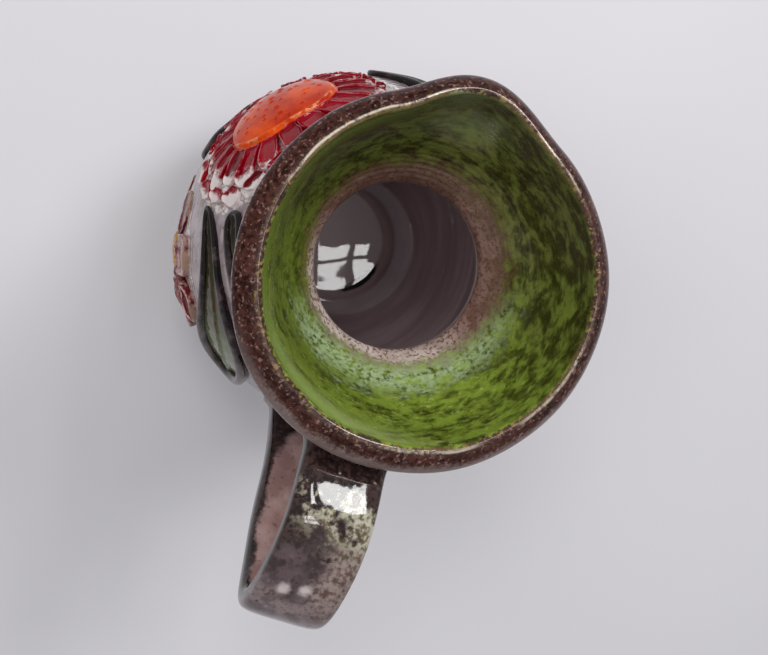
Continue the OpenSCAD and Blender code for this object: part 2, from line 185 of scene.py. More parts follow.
# How finely the surfaces are drawn
body_columns = 208
mouth_columns = 360
strap_rows = 190
loop_points = 96
centre_columns = 220
coil_rows = 220
coil_columns = 24
blade_rows = 64
blade_columns = 41


# Curves and small formulas
def mix(a, b, share):
    """The value that lies that share of the way from a to b."""
    return a + (b - a) * share


def ease(t):
    """0 below 0, 1 above 1 and a smooth S between: 3 t squared less 2 t cubed."""
    t = np.clip(t, 0, 1)
    return t * t * (3 - 2 * t)


def bump(angle, half):
    """One hump of a raised cosine, 1 in the middle and 0 from half on."""
    return np.where(np.abs(angle) < half, (1 + np.cos(np.pi * angle / half)) / 2, 0)


def bell(x, width):
    """A bell curve, 1 at 0, that has dropped to about a third at the given width."""
    return np.exp(-np.square(x / width))


def wrapped(angle, full=2 * np.pi):
    """An angle brought to within half a turn of 0."""
    return (angle + full / 2) % full - full / 2


def bezier(corners, steps):
    """Cubic curve through the first and last corner, as steps + 1 points."""
    t = np.linspace(0, 1, steps + 1)[:, None]
    a, b, c, d = np.array(corners, float)
    return (1 - t) ** 3 * a + 3 * t * (1 - t) ** 2 * b + 3 * t ** 2 * (1 - t) * c + t ** 3 * d


def joined(*curves):
    """Curves that meet end to end as one, without the doubled points."""
    return np.concatenate([curves[0]] + [curve[1:] for curve in curves[1:]])


def run_length(points):
    """Length along a row of points up to each of them."""
    steps = np.linalg.norm(np.diff(points, axis=0), axis=1)
    return np.concatenate([[0], np.cumsum(steps)])


def even(points, count):
    """The same line with its points set at even lengths."""
    length = run_length(points)
    at = np.linspace(0, length[-1], count)
    return np.stack([np.interp(at, length, axis) for axis in points.T], axis=-1)


def slopes(points):
    """Unit direction along a row of points."""
    along = np.gradient(points, axis=0)
    return along / np.linalg.norm(along, axis=1)[:, None]


# Profile of the body, as radius and height
shoulder_height = neck_height - shoulder_drop
neck_radius = throat_radius + wall
belly_span = shoulder_height - belly_height
lean = np.array([math.sin(shoulder_lean), -math.cos(shoulder_lean)])
shoulder_point = np.array([shoulder_radius, shoulder_height])
foot_curve = bezier([
    (foot_radius, 0),
    (mix(foot_radius, belly_radius, foot_flare_share), foot_rise_share * belly_height),
    (belly_radius, belly_under_share * belly_height),
    (belly_radius, belly_height),
], 90)
belly_curve = bezier([
    (belly_radius, belly_height),
    (belly_radius, belly_height + belly_over_share * belly_span),
    shoulder_point + lean * shoulder_share * belly_span,
    shoulder_point,
], 90)
neck_curve = bezier([
    shoulder_point,
    shoulder_point - lean * neck_share * shoulder_drop,
    (neck_radius, neck_height - neck_share * shoulder_drop),
    (neck_radius, neck_height),
], 36)
upper_wall = joined(belly_curve, neck_curve)
outer_wall = joined(foot_curve, upper_wall)
wall_length = run_length(outer_wall)
wall_slope = slopes(outer_wall)


def on_wall(angle, height, round_way, up_way, rise):
    """A chart of the shoulder: round_way runs round the jug and up_way up its wall, both in millimetres from
    the place given by angle and height, and rise is measured out along the wall's normal."""
    at = np.interp(height, outer_wall[:, 1], wall_length) + up_way
    r, z, slope_r, slope_z = (
        np.interp(at, wall_length, row) for row in (*outer_wall.T, *wall_slope.T)
    )
    turn = np.radians(angle) + round_way / r
    out = r + rise * slope_z
    return np.stack([out * np.cos(turn), out * np.sin(turn), z - rise * slope_r], axis=-1)


def wall_place(points, angle, height):
    """The chart read the other way: how far points of the wall lie round and up from the place given."""
    turn = wrapped(np.arctan2(points[..., 1], points[..., 0]) - np.radians(angle))
    up = np.interp(points[..., 2], outer_wall[:, 1], wall_length)
    up = up - np.interp(height, outer_wall[:, 1], wall_length)
    return turn * np.hypot(points[..., 0], points[..., 1]), up


# Meshes
def quads(rows, columns, ring):
    """Corner numbers of the faces between neighbours on a grid whose columns close, and whose rows may."""
    i, j = np.meshgrid(np.arange(rows if ring else rows - 1), np.arange(columns), indexing="ij")
    across, ahead = (j + 1) % columns, (i + 1) % rows
    corners = [i * columns + j, i * columns + across, ahead * columns + across, ahead * columns + j]
    return np.stack(corners, axis=-1).reshape(-1, 4)


def fan(ring, pole):
    """Corner numbers of the triangles that close a ring on to one point."""
    return np.stack([ring, np.roll(ring, -1), np.full_like(ring, pole)], axis=-1)


def placed(name, data):
    """A new object in the scene."""
    made = bpy.data.objects.new(name, data)
    bpy.context.scene.collection.objects.link(made)
    return made


def piece(name, points, glaze, marks=None, poles=None, crease=60, flow=None):
    """A closed piece from a grid of points in millimetres: rows of closed loops, which meet end on end or,
    with two poles, are closed by a point at either end. Marks are values over the same grid that the glaze
    reads, and flow is a grid of places that its noises may be laid along instead of the object's own."""
    rows, columns = points.shape[:2]
    faces = quads(rows, columns, poles is None)
    corners = points.reshape(-1, 3)
    caps = np.empty((0, 3), int)
    if poles is not None:
        first = fan(np.arange(columns)[::-1], rows * columns)
        last = fan((rows - 1) * columns + np.arange(columns), rows * columns + 1)
        caps = np.concatenate([first, last])
        corners = np.concatenate([corners, poles])
    triangles = np.concatenate([faces[:, [0, 1, 2]], faces[:, [0, 2, 3]], caps])
    a, b, c = (corners[triangles[:, k]] for k in range(3))
    if np.einsum("ij,ij->", a, np.cross(b, c)) < 0:
        faces, caps = faces[:, ::-1], caps[:, ::-1]
    mesh = bpy.data.meshes.new(name)
    mesh.from_pydata((corners * MM).tolist(), [], faces.tolist() + caps.tolist())
    mesh.polygons.foreach_set("use_smooth", np.ones(len(mesh.polygons), bool))
    mesh.set_sharp_from_angle(angle=math.radians(crease))
    for mark, values in (marks or {}).items():
        grid = np.broadcast_to(values, (rows, columns)).astype(np.float32)
        ends = [grid[0].mean(), grid[-1].mean()] if poles is not None else []
        layer = mesh.attributes.new(mark, "FLOAT", "POINT")
        layer.data.foreach_set("value", np.concatenate([grid.ravel(), np.array(ends, np.float32)]))
    if flow is not None:
        layer = mesh.attributes.new("flow", "FLOAT_VECTOR", "POINT")
        layer.data.foreach_set("vector", (flow * MM).astype(np.float32).ravel())
    mesh.materials.append(glaze)
    made = placed(name, mesh)
    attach(made, "root")
    return made


# Glazes
def colour(red, green, blue):
    """A display colour of 0 to 255 as the linear light that shaders take."""
    shown = np.array([red, green, blue]) / 255
    light = np.where(shown <= 0.04045, shown / 12.92, ((shown + 0.055) / 1.055) ** 2.4)
    return (*light.tolist(), 1)


class Glaze:
    """A glaze in the making: short words for the noises, steps and mixes that its colour comes from."""

    def __init__(self, name):
        self.material = bpy.data.materials.new(name)
        self.material.use_nodes = True
        self.tree = self.material.node_tree
        self.tree.nodes.clear()
        self.place = self.made("ShaderNodeTexCoord", "Object", {})

    def made(self, kind, output, inputs, **settings):
        """One output of a new node. Each of its inputs is a value or another node's output."""
        node = self.tree.nodes.new(kind)
        for setting, value in settings.items():
            setattr(node, setting, value)
        for name, value in inputs.items():
            if isinstance(value, bpy.types.NodeSocket):
                self.tree.links.new(value, node.inputs[name])
            else:
                node.inputs[name].default_value = value
        return node.outputs[output]

    def mark(self, name, kind="Fac"):
        """A value that the mesh carries, or a place if the kind is Vector."""
        return self.made("ShaderNodeAttribute", kind, {}, attribute_name=name)

    def sum(self, operation, *values):
        """One step of arithmetic."""
        return self.made("ShaderNodeMath", "Value", dict(enumerate(values)), operation=operation)

    def times(self, *values):
        """Values multiplied together."""
        product = values[0]
        for value in values[1:]:
            product = self.sum("MULTIPLY", product, value)
        return product

    def scaled(self, value, factor, start):
        """A value times a factor, counted from a start."""
        return self.sum("MULTIPLY_ADD", value, factor, start)

    def swayed(self, value, noise, amount):
        """A value moved to and fro by a noise, by up to about half the amount."""
        return self.scaled(self.sum("SUBTRACT", noise, 0.5), amount, value)

    def toward(self, x, y):
        """How far a place lies from the jug's axis in a direction, in millimetres."""
        inputs = {0: self.place, 1: (x / MM, y / MM, 0)}
        return self.made("ShaderNodeVectorMath", "Value", inputs, operation="DOT_PRODUCT")

    def noise(self, size, detail=3.0, rough=0.55, seed=0.0, scale=(1, 1, 1), warp=0.0, flowing=False):
        """Cloudy noise of about 0 to 1, with blotches of the given size in millimetres. It is laid along the
        flow that the mesh carries, or over the object's own places, stretched along the axes."""
        if flowing:
            place = self.mark("flow", "Vector")
        else:
            place = self.made("ShaderNodeMapping", "Vector", {"Vector": self.place, "Scale": scale})
        inputs = {
            "Vector": place, "W": seed, "Scale": 0.5 / (size * MM),
            "Detail": detail, "Roughness": rough, "Distortion": warp,
        }
        return self.made("ShaderNodeTexNoise", "Fac", inputs, noise_dimensions="4D")

    def step(self, value, low, high):
        """A smooth step from 0 at low to 1 at high."""
        inputs = {"Value": value, "From Min": low, "From Max": high}
        return self.made("ShaderNodeMapRange", "Result", inputs, interpolation_type="SMOOTHSTEP")

    def mix(self, share, first, second):
        """A shade that share of the way from the first to the second. Either may be a display colour."""
        shades = [colour(*shade) if isinstance(shade, tuple) else shade for shade in (first, second)]
        return self.made("ShaderNodeMix", 2, {0: share, 6: shades[0], 7: shades[1]}, data_type="RGBA")

    def between(self, value, low, high, first, second):
        """The first shade where a value is at low, the second where it is at high, mixed between."""
        return self.mix(self.step(value, low, high), first, second)

    def over(self, base, paint, *masks):
        """A base with paint over it, as thick as the masks multiplied together."""
        return self.mix(self.times(*masks), base, paint)

    def fired(self, shade, rough=0.12, relief=None, depth=0.1, coat=0.25, shine=0.5):
        """The finished glaze: its colour under a glassy coat, with a relief as deep as given."""
        inputs = {
            "Base Color": shade, "Roughness": rough, "IOR": 1.5, "Specular IOR Level": shine,
            "Coat Weight": coat, "Coat Roughness": 0.03,
        }
        if relief is not None:
            raised = {"Height": relief, "Distance": depth * MM, "Strength": 1.0}
            inputs["Normal"] = self.made("ShaderNodeBump", "Normal", raised)
        shader = self.made("ShaderNodeBsdfPrincipled", "BSDF", inputs)
        output = self.tree.nodes.new("ShaderNodeOutputMaterial")
        self.tree.links.new(shader, output.inputs["Surface"])
        return self.material


def mauve_shade(glaze):
    """The outside: mauve grey with paler clouds, brown bruises and fine brown specks."""
    clouds = glaze.step(glaze.noise(7, 4, seed=1), 0.38, 0.66)
    shade = glaze.mix(clouds, (132, 113, 117), (178, 163, 166))
    bruise = glaze.step(glaze.noise(5, 5, 0.62, seed=2), 0.52, 0.68)
    shade = glaze.mix(bruise, shade, (96, 70, 68))
    fine = glaze.step(glaze.noise(1.2, 3, seed=3), 0.58, 0.72)
    return glaze.mix(fine, shade, (110, 84, 82))


def mauve_glaze():
    """The body: mauve grey outside, white foam with brown veins round the flowers, crimson between the main
    flower's petals, purple grey inside with painted light on the inner floor, and clay at the foot. Marks:
    cream near the flowers, stain between those petals, inside, the floor, the pool at its edge and bare
    clay."""
    glaze = Glaze("mauve_glaze")
    shade = mauve_shade(glaze)
    foam = glaze.noise(2.6, 5, 0.65, seed=4)
    pooled = glaze.swayed(glaze.mark("cream"), foam, 1.6)
    cream = glaze.between(foam, 0.4, 0.6, (186, 168, 164), (234, 228, 224))
    vein = glaze.noise(3.2, 4, 0.6, seed=8, warp=0.8)
    vein = glaze.step(glaze.sum("ABSOLUTE", glaze.sum("SUBTRACT", vein, 0.5)), 0.05, 0.01)
    cream = glaze.over(cream, (104, 70, 58), vein, 0.7)
    shade = glaze.between(pooled, 0.42, 0.6, shade, cream)
    crimson = glaze.between(foam, 0.4, 0.6, (84, 2, 14), (140, 20, 34))
    shade = glaze.over(shade, crimson, glaze.mark("stain"), 0.85)
    rings = glaze.noise(2.4, 4, 0.6, seed=5, scale=(0.06, 0.06, 1))
    inside = glaze.between(rings, 0.35, 0.65, (174, 150, 156), (204, 181, 186))
    # Painted light: the inner floor made paler than the walls.
    inside = glaze.mix(glaze.mark("floor"), inside, (226, 208, 208))
    pool = glaze.swayed(glaze.mark("pool"), foam, 0.5)
    inside = glaze.between(pool, 0.35, 0.7, inside, (52, 62, 40))
    shade = glaze.mix(glaze.mark("inside"), shade, inside)
    clay = glaze.between(glaze.noise(0.8, 4, seed=6), 0.4, 0.65, (176, 134, 104), (200, 163, 132))
    shade = glaze.mix(glaze.mark("bare"), shade, clay)
    rough = glaze.scaled(glaze.mark("bare"), 0.6, 0.1)
    rough = glaze.scaled(glaze.mark("inside"), -0.03, rough)
    rough = glaze.scaled(glaze.mark("floor"), -0.05, rough)
    waves = glaze.times(glaze.noise(3, 2, seed=7), glaze.scaled(glaze.mark("inside"), -0.9, 1))
    return glaze.fired(shade, rough, waves, 0.1)


def lip_brown(glaze, edge):
    """The lip: dark brown with red brown mottles and fine pink flecks, paler at its outer edge by the
    handle, with yellow brown dots where it meets the green."""
    dapple = glaze.noise(0.8, 4, 0.62, seed=13)
    tone = glaze.swayed(dapple, glaze.noise(5, 3, seed=27), 0.5)
    brown = glaze.between(tone, 0.3, 0.72, (30, 9, 6), (84, 50, 43))
    fleck = glaze.step(glaze.noise(0.6, 3, 0.6, seed=20), 0.55, 0.68)
    brown = glaze.over(brown, (150, 116, 108), fleck, 0.75)
    handle_side = glaze.step(glaze.toward(-0.93, -0.35), 5, 40)
    pale_outer_band = glaze.times(glaze.step(glaze.swayed(edge, tone, 6), -3.5, -7), handle_side)
    brown = glaze.over(brown, (142, 124, 120), pale_outer_band, 0.75)
    dots = glaze.times(glaze.step(edge, -1.4, 0.4), glaze.step(glaze.noise(0.8, 3, seed=28), 0.54, 0.62))
    return glaze.mix(dots, brown, (142, 116, 66))


def cup_green(glaze, edge, above, blotch, fine):
    """The cup: mottled yellow greens, brown and olive on the spout's side with a grey painted reflection in
    the spout, painted shade on the side away from the main flower, a bright strip along the edge by that
    flower, glaze in part and painted highlight in part, painted shadow below it, and mint above the throat
    by the handle."""
    green = glaze.between(blotch, 0.34, 0.6, (62, 70, 16), (136, 158, 58))
    green = glaze.between(fine, 0.54, 0.72, green, (166, 184, 96))
    patch = glaze.noise(12, 3, seed=16)
    rusty = glaze.step(glaze.swayed(glaze.toward(0.99, -0.09), patch, 70), -22, 26)
    rust = glaze.between(blotch, 0.42, 0.62, (52, 38, 22), (104, 102, 56))
    green = glaze.over(green, rust, rusty, 0.76)
    # Painted shade on the side of the cup away from the main flower.
    far_side_painted_shade = glaze.times(glaze.step(glaze.toward(0.1, -0.99), 15, 45), glaze.step(blotch, 0.62, 0.42))
    green = glaze.over(green, (58, 60, 20), far_side_painted_shade, 0.5)
    # A grey painted reflection in the spout.
    spout_reflection = glaze.times(glaze.step(glaze.toward(0.98, 0.18), 40, 56), glaze.step(patch, 0.35, 0.6))
    green = glaze.over(green, (150, 158, 122), spout_reflection, 0.7)
    flower_side = glaze.step(glaze.toward(-0.37, 0.91), -5, 35)
    shadow = glaze.times(flower_side, glaze.step(glaze.swayed(edge, blotch, 20), 22, 32))
    green = glaze.over(green, (44, 50, 14), shadow, 0.45)
    # Bright strip along the edge by the main flower: glaze in part and painted highlight in part.
    strip = glaze.times(flower_side, glaze.step(glaze.swayed(edge, blotch, 26), 21, 8))
    strip = glaze.times(strip, glaze.step(edge, 1.2, 5))
    green = glaze.over(green, (170, 194, 102), strip, 0.85)
    handle_side = glaze.step(glaze.toward(-0.93, -0.35), 2, 26)
    mint = glaze.times(handle_side, glaze.step(glaze.swayed(above, blotch, 22), 26, 12))
    return glaze.over(green, (170, 190, 146), mint, glaze.step(fine, 0.36, 0.58))


def throat_mauve(glaze):
    """The throat: pale pink on the handle's side and brown mauve on the spout's, with fine brown specks."""
    cloud = glaze.step(glaze.noise(3, 4, seed=17), 0.4, 0.62)
    pale = glaze.mix(cloud, (186, 166, 158), (212, 196, 188))
    brown = glaze.mix(cloud, (112, 82, 74), (140, 108, 100))
    throat = glaze.between(glaze.toward(0.95, -0.3), -24, 4, pale, brown)
    specks = glaze.step(glaze.noise(0.55, 3, 0.6, seed=18), 0.49, 0.6)
    return glaze.over(throat, (96, 62, 52), specks, 0.8)


def green_glaze():
    """The mouth: mauve outside, brown mottles over the lip, a thin pale line on its crest, cream glaze in
    part and painted highlight in part, with ochre beside it, mottled greens and a speckled throat. The lip's
    slope
    is duller. Marks: inward, in millimetres from the crest down the inside, above, in millimetres up from
    the throat, and line, where the line shows."""
    glaze = Glaze("green_glaze")
    fringe = glaze.noise(0.8, 3, 0.6, seed=11, scale=(1, 1, 0.25))
    ragged = glaze.noise(4.5, 3, seed=12)
    edge = glaze.swayed(glaze.swayed(glaze.mark("inward"), fringe, 4.5), ragged, 2.4)
    blotch = glaze.noise(2.6, 5, 0.64, seed=14, warp=0.3, flowing=True)
    fine = glaze.noise(0.9, 4, 0.6, seed=15, flowing=True)
    above = glaze.mark("above")
    on_lip = glaze.step(edge, -10.2, -8.6)
    shade = glaze.mix(on_lip, mauve_shade(glaze), lip_brown(glaze, edge))
    ochre = glaze.times(glaze.step(edge, -0.4, 0.6), glaze.mark("line"))
    shade = glaze.over(shade, (122, 100, 62), ochre, 0.7)
    shade = glaze.between(edge, 1, 1.7, shade, cup_green(glaze, edge, above, blotch, fine))
    # The pale line on the crest: cream glaze in part and painted highlight in part.
    crest = glaze.swayed(glaze.mark("inward"), ragged, 1.6)
    line = glaze.times(glaze.step(crest, -0.8, -0.2), glaze.step(crest, 0.5, -0.1))
    line = glaze.times(line, glaze.step(glaze.swayed(fringe, ragged, 1), 0.26, 0.56))
    shade = glaze.over(shade, (210, 200, 180), line, glaze.mark("line"))
    reach = glaze.swayed(glaze.swayed(above, fine, 7), blotch, 9)
    reach = glaze.scaled(glaze.toward(0.75, -0.65), -0.1, reach)
    rust = glaze.times(glaze.step(reach, 16, 9), glaze.step(fine, 0.42, 0.56))
    shade = glaze.over(shade, (112, 80, 58), rust, 0.7)
    shade = glaze.between(reach, 10.5, 6, shade, throat_mauve(glaze))
    slope = glaze.times(on_lip, glaze.step(edge, -0.6, -3))
    shine = glaze.scaled(slope, -0.38, 0.5)
    coat = glaze.scaled(slope, -0.15, 0.15)
    return glaze.fired(shade, 0.09, glaze.noise(1.8, 3, seed=19), 0.14, coat=coat, shine=shine)


def brown_glaze():
    """The strap: dark brown mottles at the lip, cream patches on its shoulder, freckles and smoke below
    them, mauve round the turn, and a pink mauve inner face with a dark edge and a painted shadow of the lip
    towards its lower end. Marks: along the strap, facing outwards or inwards, edge from the middle to the
    sides, aside in millimetres and the two pale dabs."""
    glaze = Glaze("brown_glaze")
    along = glaze.mark("along")
    blotch = glaze.noise(4, 5, 0.62, seed=21)
    fine = glaze.noise(0.9, 4, 0.6, seed=22)
    mauve = glaze.between(glaze.noise(4, 3, seed=23), 0.4, 0.62, (98, 82, 84), (140, 122, 122))
    mauve = glaze.between(fine, 0.54, 0.68, mauve, (72, 52, 50))
    pale = glaze.times(glaze.step(glaze.noise(1.3, 4, 0.62, seed=29), 0.54, 0.68), 0.55)
    mauve = glaze.mix(pale, mauve, (164, 148, 146))
    dark = glaze.between(fine, 0.42, 0.62, (30, 19, 19), (66, 47, 43))
    smoke = glaze.between(glaze.noise(3, 3, seed=26), 0.4, 0.6, (56, 43, 45), (88, 72, 74))
    smoke = glaze.over(smoke, (122, 104, 104), pale, 0.7)
    smoke = glaze.over(smoke, (46, 31, 29), glaze.step(fine, 0.54, 0.68), 0.7)
    cover = glaze.swayed(glaze.swayed(along, blotch, 0.26), fine, 0.1)
    outer = glaze.between(cover, 0.19, 0.23, dark, smoke)
    outer = glaze.between(cover, 0.26, 0.33, outer, mauve)
    aside = glaze.mark("aside")
    start = glaze.step(glaze.scaled(aside, -0.0022, cover), 0.125, 0.16)
    end = glaze.step(glaze.scaled(aside, 0.0018, cover), 0.225, 0.175)
    shoulder = glaze.times(start, end)
    cream = glaze.between(fine, 0.42, 0.58, (104, 88, 68), (184, 181, 160))
    outer = glaze.over(outer, cream, shoulder, glaze.step(blotch, 0.4, 0.54))
    freckled = glaze.times(
        glaze.step(glaze.swayed(aside, blotch, 16), 0, -6),
        glaze.step(cover, 0.19, 0.23),
        glaze.step(cover, 0.36, 0.28),
    )
    freckles = glaze.between(fine, 0.38, 0.62, (92, 66, 58), (166, 148, 141))
    outer = glaze.over(outer, freckles, freckled, 0.7)
    dab = glaze.step(glaze.swayed(glaze.mark("dab"), fine, 1), 0.15, 1.1)
    outer = glaze.over(outer, (206, 193, 191), dab, 0.85)
    inner = glaze.between(glaze.noise(6, 4, seed=24), 0.4, 0.64, (160, 127, 122), (194, 164, 159))
    inner = glaze.between(fine, 0.56, 0.7, inner, (132, 99, 94))
    side = glaze.swayed(glaze.swayed(glaze.mark("edge"), fine, 0.25), blotch, 0.4)
    inner = glaze.between(side, 0.76, 0.9, inner, dark)
    # Painted shadow of the lip, dark across the inner face near its lower end.
    painted_lip_shadow = glaze.swayed(glaze.scaled(aside, 0.011, along), blotch, 0.12)
    inner = glaze.between(painted_lip_shadow, 0.84, 0.89, inner, dark)
    shade = glaze.between(glaze.mark("facing"), -0.2, 0.2, inner, outer)
    return glaze.fired(shade, 0.05, glaze.noise(2.5, 2, seed=25), 0.07)


def petal_glaze(name, deep, bright, ridge, tip, spread):
    """Petals: colour pooled in the hollow, thin on the raised edge, and paling to the tip. Spread gives the
    tones at which the deep colour ends and the bright one is full. Marks: pool in the hollow, tip along the
    petal and shade, one chance value for each petal."""
    glaze = Glaze(name)
    cloud = glaze.noise(2.2, 4, 0.6, seed=31)
    fine = glaze.noise(0.9, 3, seed=32)
    pool = glaze.swayed(glaze.mark("pool"), cloud, 1.3)
    tone = glaze.scaled(glaze.mark("shade"), 0.5, glaze.times(cloud, 0.7))
    body = glaze.between(tone, *spread, deep, bright)
    thin = glaze.between(cloud, 0.4, 0.6, bright, ridge)
    shade = glaze.between(pool, 0.1, 0.45, thin, body)
    end = glaze.swayed(glaze.swayed(glaze.mark("tip"), fine, 0.5), cloud, 0.9)
    shade = glaze.between(end, 0.8, 1.05, shade, tip)
    return glaze.fired(shade, 0.04, glaze.noise(1.6, 2, seed=33), 0.16, coat=0, shine=0.22)


def centre_glaze(name, deep, bright, outline):
    """A flower's centre: clouded colour, darker in its pricked holes and pale along its raised outline."""
    glaze = Glaze(name)
    cloud = glaze.step(glaze.noise(6, 4, seed=41), 0.35, 0.65)
    shade = glaze.mix(cloud, deep, bright)
    shade = glaze.mix(glaze.mark("hole"), shade, (70, 22, 8))
    thin = glaze.times(glaze.mark("outline"), glaze.step(glaze.noise(1.6, 3, seed=42), 0.46, 0.62))
    shade = glaze.mix(thin, shade, outline)
    return glaze.fired(shade, 0.05, glaze.noise(2, 2, seed=43), 0.12, coat=0, shine=0.18)


def leaf_glaze():
    """Leaf blades: dark olive at the tip and grey green at the round end, with a broken brown streak on the
    midrib and black patches where the rim's glaze ran in. Marks: along the leaf, and midrib."""
    glaze = Glaze("leaf_glaze")
    cloud = glaze.noise(3, 5, 0.6, seed=51)
    along = glaze.swayed(glaze.mark("along"), cloud, 0.4)
    shade = glaze.between(along, 0.1, 0.5, (36, 29, 17), (64, 61, 32))
    shade = glaze.between(along, 0.5, 0.85, shade, (110, 120, 82))
    fine = glaze.noise(1, 4, seed=52)
    shade = glaze.between(fine, 0.55, 0.72, shade, (70, 72, 44))
    streak = glaze.swayed(glaze.swayed(glaze.mark("midrib"), fine, 0.8), cloud, 1.6)
    fade = glaze.times(glaze.step(along, 0.85, 0.6), glaze.step(along, 0.3, 0.5))
    fade = glaze.times(fade, glaze.step(glaze.noise(2.4, 3, seed=55), 0.42, 0.56))
    shade = glaze.over(shade, (78, 45, 28), glaze.step(streak, 0.6, 1), fade)
    run = glaze.times(glaze.step(glaze.noise(5, 4, 0.6, seed=54), 0.64, 0.7), glaze.step(along, 0.6, 0.85))
    shade = glaze.over(shade, (36, 31, 32), run, 0.7)
    return glaze.fired(shade, 0.08, glaze.noise(2, 2, seed=53), 0.1, coat=0.05, shine=0.35)


def black_glaze():
    """Leaf rims: black paling to mauve grey over the coil's crown and towards the round end: the glaze
    thinning there in part, and painted sheen in part. Marks: along the leaf, and crown, from the coil's foot
    to its top."""
    glaze = Glaze("black_glaze")
    cloud = glaze.noise(4, 5, 0.6, seed=61)
    # Mauve grey over the coil's crown: thinned glaze in part, painted sheen in part.
    thin = glaze.times(glaze.mark("along"), glaze.scaled(glaze.mark("crown"), 0.3, 0.2))
    shade = glaze.between(glaze.sum("ADD", thin, cloud), 0.62, 0.9, (26, 20, 21), (104, 90, 91))
    fine = glaze.step(glaze.noise(1.1, 3, seed=62), 0.55, 0.7)
    shade = glaze.mix(fine, shade, (60, 45, 40))
    return glaze.fired(shade, 0.08, glaze.noise(2, 2, seed=63), 0.1, coat=0, shine=0.4)


def make_body():
    """The thrown body: the profile of foot, wall, rim of the neck, inner wall and floor, turned round the
    axis. Throwing rings are waves of the inner radius, the outside has finer ones, and the dished floor is
    lumpy."""
    turn = np.linspace(0, 2 * np.pi, body_columns, endpoint=False)
    inner_belly = belly_radius - wall
    bowl = bezier([
        (floor_radius, floor_height),
        (mix(floor_radius, inner_belly, floor_flare_share), floor_height),
        (inner_belly, belly_under_share * belly_height),
        (inner_belly, belly_height),
    ], 80)
    along = slopes(upper_wall)
    inner_upper = upper_wall - wall * np.stack([along[:, 1], -along[:, 0]], axis=-1)
    inner_upper[-1] = (throat_radius, neck_height)
    inner = joined(bowl, inner_upper)
    up = inner[:, 1]
    fade = ease((up - floor_height) / ring_spacing) * ease((neck_height - up) / (2 * ring_spacing))
    inner[:, 0] -= (1 - ring_fill) * ring_depth * fade * (1 - np.cos(2 * np.pi * up / ring_spacing)) / 2
    inner[:, 0] -= fine_ring_depth * fade * np.sin(2 * np.pi * up / fine_ring_spacing)
    outer = outer_wall.copy()
    up = outer[:, 1]
    outer[:, 0] += outer_line_depth * np.sin(up * 1.9) * ease(up / 20) * ease((neck_height - up) / 8)
    edge = 1.2
    foot_in = foot_radius - foot_ring_width
    under = np.array([
        (4, foot_hollow), (foot_in - 2 * foot_hollow, foot_hollow), (foot_in - foot_hollow, foot_hollow),
        (foot_in - 0.4 * foot_hollow, 0.5 * foot_hollow), (foot_in, 0.2), (foot_in + edge, 0),
        (foot_radius - edge, 0), (foot_radius - 0.3 * edge, 0.25 * edge),
    ])
    low = outer[outer[:, 1] > edge]
    neck_rim = np.array([(mix(neck_radius, throat_radius, 0.5), neck_height)])
    floor_steps = np.linspace(floor_radius, 3, 16)[1:]
    dish = floor_dish * (1 - np.square(floor_steps / floor_radius))
    floor = np.stack([floor_steps, floor_height - dish], axis=-1)
    profile = np.concatenate([under, low, neck_rim, inner[::-1], floor])
    starts = np.cumsum([len(under), len(low), len(neck_rim)])
    row = np.arange(len(profile))
    r, z = profile.T[:, :, None]
    on_floor = (row >= len(row) - len(floor_steps))[:, None]
    x, y = r * np.cos(turn), r * np.sin(turn)
    lumps = 0.05 * np.sin((0.8 * x + 0.6 * y) / 4.4 + 0.5) + 0.02 * np.sin((0.87 * y - 0.5 * x) / 3.4 + 2)
    points = np.stack([x, y, z + lumps * on_floor * ease((floor_radius - r) / 8)], axis=-1)
    inside = ease((row - starts[1]) / 3)[:, None]
    bare = np.where(row < starts[0] + 1, ease((z[:, 0] + 1) / 0.9) * (r[:, 0] > foot_in - 3), 0)[:, None]
    low_inside = ((row > starts[2]) * (z[:, 0] < 20))[:, None]
    pool_way = wrapped(turn - np.radians(pool_bearing))
    pool = low_inside * bell(r - pool_radius, 2.5) * bump(pool_way, 1.0)
    round_way, up_way = wall_place(points, flower_angle, flower_height)
    from_flower = np.hypot(round_way, up_way / flower_squash)
    white = paled(np.degrees(np.arctan2(up_way / flower_squash, round_way)))
    round_way, up_way = wall_place(points, small_flower_angle, small_flower_height)
    from_small = np.hypot(round_way, up_way)
    cream = ease((flower_radius + 10 - from_flower) / 12)
    cream = cream + ease((small_flower_radius + 6 - from_small) / 10)
    stain = ease((mix(1.0, 0.88, white) * flower_radius - from_flower) / 5) * (1 - inside)
    # Painted light on the inner floor, fading out towards the wall.
    painted_floor_light = low_inside * ease((floor_radius + 6 - r) / 6)
    marks = {
        "inside": inside, "bare": bare, "floor": painted_floor_light, "pool": pool, "stain": stain,
        "cream": np.clip(cream, 0, 1) * (1 - inside),
    }
    poles = [(0, 0, foot_hollow), points[-1].mean(axis=0)]
    made = piece("thrown_body", points, mauve_glaze(), marks, poles, crease=40)
    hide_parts("body")


# Profile of the mouth
lip_height = jug_height - lip_crest
mouth_span = lip_height - neck_height
crest_radius = lip_radius - lip_width
cup_radius = crest_radius - lip_roll
cup_height = jug_height - lip_inner_drop_share * lip_crest
mouth_outside = bezier([
    (neck_radius, neck_height),
    (neck_radius, neck_height + mouth_rise_share * mouth_span),
    (mix(neck_radius, lip_radius, mouth_flare_share), neck_height + mouth_turn_share * mouth_span),
    (lip_radius, lip_height),
], 60)
lip_slope = bezier([
    (lip_radius, lip_height),
    (lip_radius, lip_height + lip_slope_shares[0] * lip_crest),
    (crest_radius + lip_slope_shares[1] * lip_width, jug_height),
    (crest_radius, jug_height),
], 24)
lip_rounding = bezier([
    (crest_radius, jug_height),
    (crest_radius - lip_roll_shares[0] * lip_roll, jug_height),
    (cup_radius, mix(jug_height, cup_height, lip_roll_shares[1])),
    (cup_radius, cup_height),
], 12)
